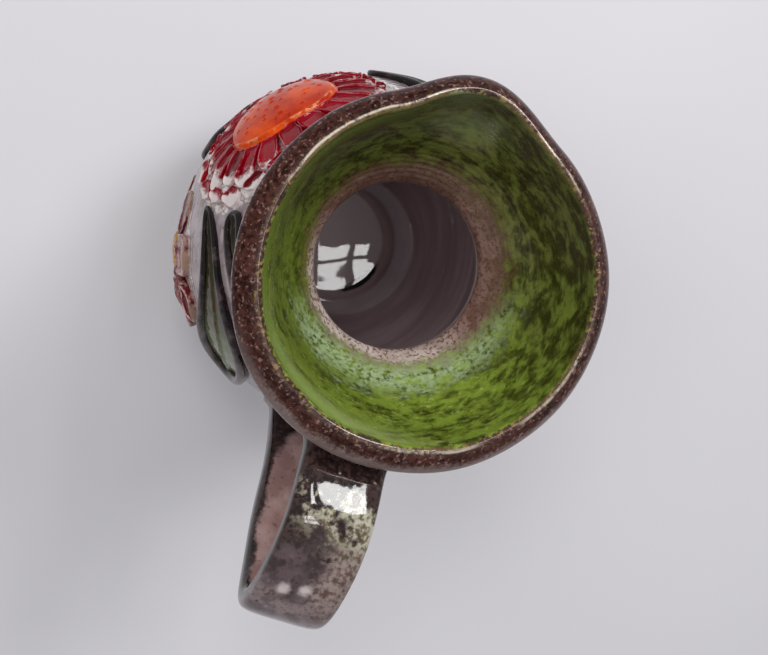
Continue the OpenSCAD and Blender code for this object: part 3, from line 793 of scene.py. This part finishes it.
mouth_inside = bezier([
    (cup_radius, cup_height),
    (mix(throat_radius, cup_radius, mouth_flare_share), neck_height + mouth_turn_share * mouth_span),
    (throat_radius, neck_height + mouth_rise_share * mouth_span),
    (throat_radius, neck_height),
], 72)
spout_root = neck_height + spout_root_share * (jug_height - neck_height)


def spout_pull(turn):
    """How far the lip is drawn out at an angle, as a share of the spout's reach: one hump."""
    return bump(wrapped(turn - spout_swing), spout_half_angle)


def make_mouth():
    """The cup: a closed profile, up the outside, over the sloping lip and down the inside, carried round the
    axis. Towards the lip each point is drawn out by the spout's pull and dips with it, the outer edge drifts
    towards the handle, and the thrower's lines ripple the inside."""
    turn = np.linspace(-np.pi, np.pi, mouth_columns, endpoint=False)
    profile = joined(mouth_outside, lip_slope, lip_rounding, mouth_inside)
    length = run_length(profile)
    row = np.arange(len(profile))
    crest = len(mouth_outside) + len(lip_slope) - 2
    inward = length - length[crest]
    above = length[-1] - length
    ripple = 0.06 * np.sin(2 * np.pi * inward / 2.6) * ease((inward - 6) / 10) * ease(above / 8)
    drift = np.where(row < crest, np.clip((profile[:, 0] - crest_radius) / lip_width, 0, 1), 0)
    drift = np.where(row < len(mouth_outside), 1, drift)[:, None]
    r, z = profile.T[:, :, None]
    r = r + ripple[:, None]
    rise = ease((z - spout_root) / (lip_height - spout_root))
    hand = sum(size * np.sin(number * turn + start) for size, number, start in lip_waves)
    r = r + rise * (spout_reach * spout_pull(turn) - drift * lip_drift * np.cos(turn) + hand)
    z = z - rise * (spout_dip * spout_pull(turn) + 0.2 * np.sin(4 * turn + 1))
    points = np.stack([r * np.cos(turn), r * np.sin(turn), np.broadcast_to(z, r.shape)], axis=-1)
    bearing = np.degrees(turn)
    # The pale line round the lip: cream glaze in part, painted highlight in part.
    line = sum(
        strength * ease((bearing - first) / line_fade) * ease((last - bearing) / line_fade)
        for first, last, strength in cream_and_glint_stretches
    )
    marks = {"inward": inward[:, None], "above": above[:, None], "line": (0.08 + 0.9 * line)[None, :]}
    flow = (flow_radius * np.cos(turn), flow_radius * np.sin(turn), flow_stretch * inward[:, None])
    flow = np.stack(np.broadcast_arrays(*flow), axis=-1)
    made = piece("cup_mouth", points, green_glaze(), marks, crease=50, flow=flow)
    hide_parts("mouth")


def strap_path():
    """Midline of the strap as distance from the axis and height: out from under the lip, over the top, round
    the outermost place and down to the belly."""
    half = handle_thickness / 2
    spring_height = jug_height - handle_spring_drop
    drift = lip_drift * ease((spring_height - spout_root) / (lip_height - spout_root))
    spring_wall = np.interp(spring_height, mouth_outside[:, 1], mouth_outside[:, 0])
    spring = np.array([spring_wall + drift, spring_height])
    turn = np.array([handle_reach - half, jug_height - handle_turn_drop])
    top = np.array([mix(spring[0], turn[0], strap_top_share), jug_height - handle_top_drop - half])
    foot_wall = np.interp(handle_foot_height, outer_wall[:, 1], outer_wall[:, 0])
    foot = np.array([foot_wall - strap_foot_share * half, handle_foot_height])
    rise, fall = top[1] - spring[1], turn[1] - foot[1]
    rise_curve = bezier([
        spring,
        (mix(spring[0], top[0], strap_leave_shares[0]), spring[1] + strap_leave_shares[1] * rise),
        (mix(spring[0], top[0], strap_top_shares[0]), top[1]),
        top,
    ], 60)
    round_curve = bezier([
        top,
        (mix(top[0], turn[0], strap_top_shares[1]), top[1]),
        (turn[0], turn[1] + strap_turn_shares[0] * (top[1] - turn[1])),
        turn,
    ], 60)
    fall_curve = bezier([
        turn,
        (turn[0], turn[1] - strap_turn_shares[1] * fall),
        (foot[0] - strap_tuck_share * handle_thickness, turn[1] - strap_fall_share * fall),
        foot,
    ], 80)
    path = joined(rise_curve, round_curve, fall_curve)
    root = path[0] - strap_root * (path[1] - path[0]) / np.linalg.norm(path[1] - path[0])
    return even(np.concatenate([[root], path]), strap_rows)


def make_handle():
    """The strap: a rounded oblong section carried along its midline, thinner towards its lower end and
    spread at both ends where it is smeared on to the wall."""
    path = strap_path()
    ahead = slopes(path)
    share = np.linspace(0, 1, len(path))[:, None]
    length = run_length(path)[:, None]
    round_section = np.radians(np.arange(0, 360, 0.5))
    oblong = np.stack([np.cos(round_section), np.sin(round_section)], axis=-1)
    size = np.array([handle_width, handle_thickness])
    oblong = np.sign(oblong) * np.abs(oblong) ** strap_section_power * size
    oblong = even(np.concatenate([oblong, oblong[:1]]), loop_points + 1)[:-1] / size
    smear = bell(length - strap_root, 4.5)
    foot_smear = bell(length[-1] - length, 9)
    width = handle_width / 2 * mix(*strap_width_shares, np.sin(np.pi * share))
    width = width + 2.4 * smear + 2.2 * foot_smear
    thin = mix(1, strap_thin_share, ease((share - strap_thin_from_share) / (1 - strap_thin_from_share)))
    thick = handle_thickness / 2 * thin + 1.6 * smear
    aside = width * oblong[:, 0] + 0.25 * np.sin(share * 23)
    up = thick * oblong[:, 1] * (1 + 0.03 * np.sin(share * 41 + 1))
    r = path[:, :1] - ahead[:, 1:] * up
    z = path[:, 1:] + ahead[:, :1] * up
    points = np.stack([-r, aside, z], axis=-1)
    dab = sum(
        ease((dab_radius - np.hypot((share - at) * length[-1] * 1.15, aside - side)) / dab_softness)
        for at, side in dab_places
    )
    marks = {
        "along": share,
        "facing": oblong[:, 1],
        "edge": np.abs(oblong[:, 0]),
        "dab": np.clip(dab, 0, 1),
        "aside": aside,
    }
    poles = [points[0].mean(axis=0), points[-1].mean(axis=0)]
    made = piece("strap_handle", points, brown_glaze(), marks, poles)
    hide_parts("handle")


def on_flower(main, direction, along, aside, rise):
    """A point of a flower: along and aside of one petal's line from the flower's middle, laid on the
    shoulder. The main flower is a little wider than it is high."""
    angle, height, squash = small_flower_angle, small_flower_height, 1
    if main:
        angle, height, squash = flower_angle, flower_height, flower_squash
    turn = np.radians(direction)
    round_way = along * np.cos(turn) - aside * np.sin(turn)
    up_way = squash * (along * np.sin(turn) + aside * np.cos(turn))
    return on_wall(angle, height, round_way, up_way, rise)


def make_centre(name, node, main, radius, height, glaze, holes):
    """A flower's centre: a low dome over rings of radius, with a raised outline near its edge and holes
    pricked along a sunflower's spiral, each a bell-shaped pit with a small burr."""
    steps = np.concatenate([
        np.linspace(1.0, 1.03, 3),
        np.linspace(1.02, 0.9, 9)[1:],
        np.linspace(0.9, 0.02, 64)[1:],
    ])
    on_skirt = np.arange(len(steps)) < 3
    skirt = np.concatenate([[-seat_depth, 0.3, 0.3 * height], np.zeros(len(steps) - 3)])
    turn = np.radians(np.linspace(0, 360, centre_columns, endpoint=False))
    dome = height * (0.3 + 0.7 * np.sqrt(np.clip(1 - steps ** 2, 0, 1)) ** 0.8)
    outline = bell(steps - 0.965, 0.025)
    rise = np.where(on_skirt, skirt, dome + 0.4 * outline)[:, None]
    along = radius * steps[:, None] * (1 + 0.02 * np.sin(3 * turn + 1) + 0.012 * np.sin(7 * turn))
    x, y = along * np.cos(turn), along * np.sin(turn)
    number = np.arange(holes)
    hole_r = 0.86 * radius * np.sqrt((number + 0.6) / holes) + rng.normal(0, 0.7, holes)
    hole_turn = number * np.radians(137.5) + rng.normal(0, 0.25, holes)
    size = 0.6 * (1 + np.clip(rng.normal(0, 0.25, holes), -0.5, 0.5))
    away = np.hypot(x[..., None] - hole_r * np.cos(hole_turn), y[..., None] - hole_r * np.sin(hole_turn))
    pits = bell(away, size).sum(axis=-1)
    burr = bell(away - 1.7 * size, 0.5 * size).sum(axis=-1)
    field = rise - 0.95 * np.clip(pits, 0, 1) + 0.22 * np.clip(burr, 0, 1)
    field = np.where(on_skirt[:, None], rise, field)
    points = on_flower(main, 0, x, y, field)
    marks = {"hole": np.clip(pits * 1.2 - 0.35, 0, 1) * (rise > 0), "outline": outline[:, None]}
    poles = [on_flower(main, 0, 0.0, 0.0, level) for level in (-seat_depth, float(field[-1].mean()))]
    made = piece(name, points, glaze, marks, poles, crease=80)
    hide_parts(node)


def full_outline(base, tip, count, v):
    """Half width of a petal that fills its pitch and rounds off at the tip."""
    pitch = np.pi * mix(base, tip, petal_swell_share * v) / count
    return (pitch - petal_gap / 2) * np.sqrt(np.clip(1 - v ** 4, 0, 1))


def tapered_outline(base, tip, count, v):
    """Half width of a short petal that tapers at both ends."""
    swell = np.clip(np.sin(np.pi * mix(petal_start_share, 1, v)), 0, 1)
    return petal_taper_share * np.pi * base / count * swell ** 0.95


def make_petal(name, node, main, direction, base, tip, count, outline, glaze):
    """A petal: its outline drawn in towards its middle line by rings, rising from the wall to a thin rounded
    edge and sinking to a hollow. Each is grown, bent, widened and waved a little by chance. The lower
    flower's petals stand higher on the side away from the main flower."""
    grown, turned, lifted, shade, bent, wide = rng.normal(0, [0.04, 1.0, 0.1, 0.3, 0.06, 0.05])
    wave = rng.uniform(0, 2 * np.pi, 3)
    leaning = small_petal_rise * (1 + small_petal_lean * math.cos(math.radians(direction)))
    height = petal_rise if main else leaning
    v = (1 - np.cos(np.linspace(0, np.pi, 34))) / 2
    side = np.stack([mix(base, tip * (1 + grown), v), outline(base, tip, count, v) * (1 + wide)], axis=-1)
    loop = even(np.concatenate([side, side[::-1][1:] * (1, -1), side[:1]]), loop_points + 1)[:-1]
    round_loop = np.linspace(0, 2 * np.pi, len(loop), endpoint=False)
    span = tip - base
    inward = np.clip(loop[:, 0], base + 0.25 * span, base + 0.75 * span)
    middle = np.stack([inward, np.zeros(len(loop))], axis=-1)
    drawn = np.array([1.0, 1.02, 1.0, 0.96, 0.91, 0.85, 0.77, 0.66, 0.52, 0.34, 0.12])[:, None, None]
    level = np.array([-seat_depth / height, 0.3, 0.8, 1.0, 0.92, 0.7, 0.54, 0.46, 0.43, 0.43, 0.46])
    level = level[:, None]
    waved = 1 + (0.04 * np.sin(3 * round_loop + wave[0]) + 0.03 * np.sin(5 * round_loop + wave[1]))[:, None]
    places = middle + (loop - middle) * drawn * waved
    reach = (places[..., 0] - base) / span
    places[..., 1] += bent * span * reach ** 2
    droop = np.where(level > 0, 1 - 0.3 * ease((reach - 0.6) / 0.5), 1)
    lumps = 1 + 0.14 * np.sin(4 * round_loop + wave[2]) * ease(drawn[..., 0] * 3 - 1.5) * (level > 0.3)
    rise = height * (1 + lifted) * level * droop * lumps
    rise = np.where(level > 0, np.maximum(rise, 0.1), rise)
    points = on_flower(main, direction + turned, places[..., 0], places[..., 1], rise)
    pool = np.array([0.6, 0.6, 0.4, 0.0, 0.2, 0.8, 1, 1, 1, 1, 1])[:, None]
    paling = (0.3 + 0.35 * (outline is tapered_outline)) * paled(direction) if main else 0.0
    marks = {"pool": pool, "tip": np.clip(reach, 0, 1.1) + paling, "shade": np.full(1, 0.5 + shade)}
    end = [float(np.mean(places[-1, :, k])) for k in range(2)]
    poles = [
        on_flower(main, direction + turned, end[0], end[1], -seat_depth),
        on_flower(main, direction + turned, end[0], end[1], float(rise[-1].mean())),
    ]
    made = piece(name, points, glaze, marks, poles, crease=80)
    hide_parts(node)


def trailing(direction):
    """1 for a petal that points to where the petals trail furthest, and 0 on the other side."""
    return float(bell(wrapped(direction - trail_direction, 360), 55))


def paled(direction):
    """1 for a petal that points to where white glaze ran over the petals, and 0 on the other side."""
    return bell(wrapped(direction - pale_direction, 360), 40)


def make_flowers():
    """Both flowers: a pricked centre each, two rounds of petals on the main flower and one on the lower."""
    pale = (228, 216, 214)
    orange = centre_glaze("orange_glaze", (186, 46, 6), (232, 84, 6), (232, 170, 120))
    ochre = centre_glaze("ochre_glaze", (170, 120, 40), (214, 168, 78), (232, 214, 178))
    red = petal_glaze("red_glaze", (92, 0, 12), (150, 4, 26), (196, 128, 134), pale, (0.3, 0.75))
    pink = petal_glaze("pink_glaze", (98, 12, 26), (218, 182, 176), (104, 18, 30),
                       (172, 140, 122), (0.66, 0.88))
    make_centre("flower_heart", "flower_centre", True, flower_centre_radius, flower_centre_rise,
                orange, hole_count)
    make_centre("lower_flower_heart", "lower_flower_centre", False, small_centre_radius, small_centre_rise,
                ochre, small_hole_count)
    inner_base = flower_centre_radius + petal_gap
    for i in range(petal_count):
        inner, outer = 360 * i / petal_count, 360 * (i + 0.5) / petal_count
        tip = (inner_tip_share + 0.07 * trailing(inner)) * flower_radius
        make_petal(f"long_petal_{i + 1}", f"inner_petal_{i + 1}", True, inner, inner_base, tip,
                   petal_count, full_outline, red)
        base = (outer_base_share + 0.05 * trailing(outer)) * flower_radius
        tip = (1 + 0.12 * trailing(outer)) * flower_radius
        make_petal(f"short_petal_{i + 1}", f"outer_petal_{i + 1}", True, outer, base, tip,
                   petal_count, tapered_outline, red)
    small_base = small_centre_radius + petal_gap
    for i in range(small_petal_count):
        make_petal(f"pink_petal_{i + 1}", f"lower_petal_{i + 1}", False, 360 * i / small_petal_count,
                   small_base, small_flower_radius, small_petal_count, full_outline, pink)


class Leaf:
    """One leaf's place on the shoulder: its midline from pointed tip to round end, and its outline."""

    def __init__(self, i):
        heights = neck_height * np.array([leaf_tip_heights[i], leaf_end_heights[i]])
        self.angle = (leaf_tip_angles[i] + leaf_end_angles[i]) / 2
        self.height = heights.mean()
        ups = np.interp(heights, outer_wall[:, 1], wall_length)
        r = np.interp(self.height, outer_wall[:, 1], outer_wall[:, 0])
        run = np.array([np.radians(leaf_end_angles[i] - leaf_tip_angles[i]) * r, ups[1] - ups[0]])
        self.length = np.linalg.norm(run)
        self.ahead = run / self.length
        self.bow = leaf_bows[i]
        self.half = leaf_widths[i] / 2 - leaf_coil_radius

    def lay(self, along, aside, rise):
        """A point along and aside of the midline, which bows upwards as a parabola."""
        bow = 4 * self.bow * (along / self.length) * (1 - along / self.length)
        from_middle = along - self.length / 2
        round_way = from_middle * self.ahead[0] - aside * self.ahead[1]
        up_way = from_middle * self.ahead[1] + aside * self.ahead[0] + bow
        return on_wall(self.angle, self.height, round_way, up_way, rise)

    def edge(self, turn):
        """Midline of the rim's coil: pointed with a little rounding at the tip, round at the end."""
        inner = self.length - 2 * leaf_coil_radius
        v = (1 - np.cos(turn)) / 2
        u = v ** leaf_fullness
        tip = 2 * leaf_tip_radius * inner * v * (1 - v) ** 6
        aside = np.sign(np.sin(turn)) * np.sqrt(4 * self.half ** 2 * u * (1 - u) + tip)
        return np.stack([leaf_coil_radius + v * inner, aside], axis=-1)


def coil_radius(share):
    """Radius of the rim's coil at a share of the leaf's length: thickest at the round end."""
    return leaf_coil_radius * (1 + leaf_coil_growth * (share - 0.5))


def make_leaf(i, blade_glaze, rim_glaze):
    """A leaf: a coil of clay bent round its outline and a blade inside it, raised along the midrib."""
    leaf = Leaf(i)
    turn = np.radians(np.linspace(0, 360, 721) + 0.25)
    loop = even(leaf.edge(turn), coil_rows + 1)[:-1]
    out = np.roll(loop, -1, axis=0) - np.roll(loop, 1, axis=0)
    out = np.stack([-out[:, 1], out[:, 0]], axis=-1) / np.linalg.norm(out, axis=1)[:, None]
    around = np.linspace(0, 2 * np.pi, coil_columns, endpoint=False)
    share = (loop[:, 0] / leaf.length)[:, None]
    uneven = 1 + 0.06 * np.sin(np.linspace(0, 2 * np.pi, len(loop), endpoint=False) * 5 + i)[:, None]
    thick = coil_radius(share) * uneven
    places = loop[:, None, :] + out[:, None, :] * (thick * np.cos(around))[..., None]
    rise = thick * (coil_seat_share + np.sin(around))
    points = leaf.lay(places[..., 0], places[..., 1], rise)
    marks = {"along": share, "crown": np.sin(around)}
    made = piece(f"leaf_coil_{i + 1}", points, rim_glaze, marks)
    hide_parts(f"leaf_rim_{i + 1}")
    reach = np.linspace(0.02, 0.985, blade_rows)
    edge = leaf.edge(np.arccos(1 - 2 * reach))
    across = np.concatenate([np.linspace(1, -1, blade_columns), np.linspace(-1, 1, 13)[1:-1]])
    top = np.arange(len(across)) < blade_columns
    inset = np.maximum(edge[:, 1:] - 0.5 * coil_radius(reach[:, None]), 0.3)
    veins = 0.12 * np.sin(reach[:, None] * leaf.length * 0.9 + np.abs(across) * 5) * (1 - np.abs(across))
    blade = leaf_blade_rise * (0.75 + 0.25 * across ** 2) + veins
    ridge = bell(across * inset, 0.9)
    field = np.where(top, blade + (leaf_midrib_rise - leaf_blade_rise) * ridge, -seat_depth)
    points = leaf.lay(edge[:, :1], inset * across, field)
    marks = {"along": reach[:, None], "midrib": bell(across * inset, 2.2) * top}
    poles = [points[0].mean(axis=0), points[-1].mean(axis=0)]
    made = piece(f"leaf_face_{i + 1}", points, blade_glaze, marks, poles, crease=80)
    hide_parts(f"leaf_blade_{i + 1}")


def make_leaves():
    """All five leaves."""
    blade_glaze, rim_glaze = leaf_glaze(), black_glaze()
    for i in range(len(leaf_widths)):
        make_leaf(i, blade_glaze, rim_glaze)


# Stage
sensor_width = 36
focal_length = 46.875
# Place and directions of the camera, fitted to the photograph's rim, throat and inner floor
camera_place = Vector((0.9, 78.2, 487.8)) * MM
camera_right = Vector((0.3705, -0.9075, 0.1977)).normalized()
camera_ahead = Vector((-0.0639, -0.2373, -0.9693)).normalized()
camera_up = camera_right.cross(camera_ahead).normalized()


def facing(place, ahead, up):
    """Placing of a camera or lamp that looks ahead from a place."""
    right = ahead.cross(up).normalized()
    turned = Matrix((right, right.cross(ahead), -ahead)).transposed()
    return Matrix.Translation(place) @ turned.to_4x4()


def make_camera():
    """The photograph's view of the jug, from over its mouth."""
    lens = bpy.data.cameras.new("camera")
    lens.sensor_fit = "HORIZONTAL"
    lens.sensor_width = sensor_width
    lens.lens = focal_length
    lens.clip_start = 0.01
    camera = placed("camera", lens)
    camera.matrix_world = facing(camera_place, camera_ahead, camera_up)
    bpy.context.scene.camera = camera


def make_pane(name, aside, above, width, height, brightness, mirrored=True):
    """A bright pane beside the camera, one metre from the jug, aside and above of the view's line."""
    middle = Vector((0, 0, 0.12))
    away = camera_right * aside + camera_up * above - camera_ahead * math.sqrt(1 - aside ** 2 - above ** 2)
    lamp = bpy.data.lights.new(name, "AREA")
    lamp.shape = "RECTANGLE"
    lamp.size, lamp.size_y = width, height
    lamp.energy = brightness * math.pi * width * height
    made = placed(name, lamp)
    made.matrix_world = facing(middle + away, -away, camera_up)
    made.visible_camera = False
    made.visible_glossy = mirrored


def make_stage():
    """A plain pale floor, a window in two panes, a small window of four panes, two soft lamps that the glaze
    doesn't mirror and an even surround."""
    reach = 4.0
    mesh = bpy.data.meshes.new("floor")
    corners = [(-reach, -reach, 0), (reach, -reach, 0), (reach, reach, 0), (-reach, reach, 0)]
    mesh.from_pydata(corners, [], [(0, 1, 2, 3)])
    plain = Glaze("floor_paper")
    shade = plain.mix(plain.noise(60, 2), (224, 222, 226), (229, 227, 231))
    mesh.materials.append(plain.fired(shade, 0.6, coat=0.0))
    floor = placed("floor", mesh)
    make_pane("window", 0.62, 0.25, 0.27, 0.3, 13.5)
    make_pane("window_side", 0.42, 0.27, 0.06, 0.3, 13.5)
    for aside in (0, 1):
        for above in (0, 1):
            make_pane(f"small_pane_{1 + aside + 2 * above}", 0.285 + 0.08 * aside, -0.19 + 0.07 * above,
                      0.065, 0.055, 9.0)
    make_pane("soft_lamp", -0.35, 0.0, 0.5, 0.5, 2.6, mirrored=False)
    make_pane("top_lamp", 0.02, 0.3, 0.3, 0.3, 7.0, mirrored=False)
    world = bpy.data.worlds.new("surround")
    world.use_nodes = True
    world.node_tree.nodes["Background"].inputs["Color"].default_value = colour(240, 241, 244)
    world.node_tree.nodes["Background"].inputs["Strength"].default_value = 0.36
    bpy.context.scene.world = world
    bpy.context.scene.view_settings.view_transform = "Standard"


make_camera()
make_body()
make_mouth()
make_handle()
make_flowers()
make_leaves()
make_stage()
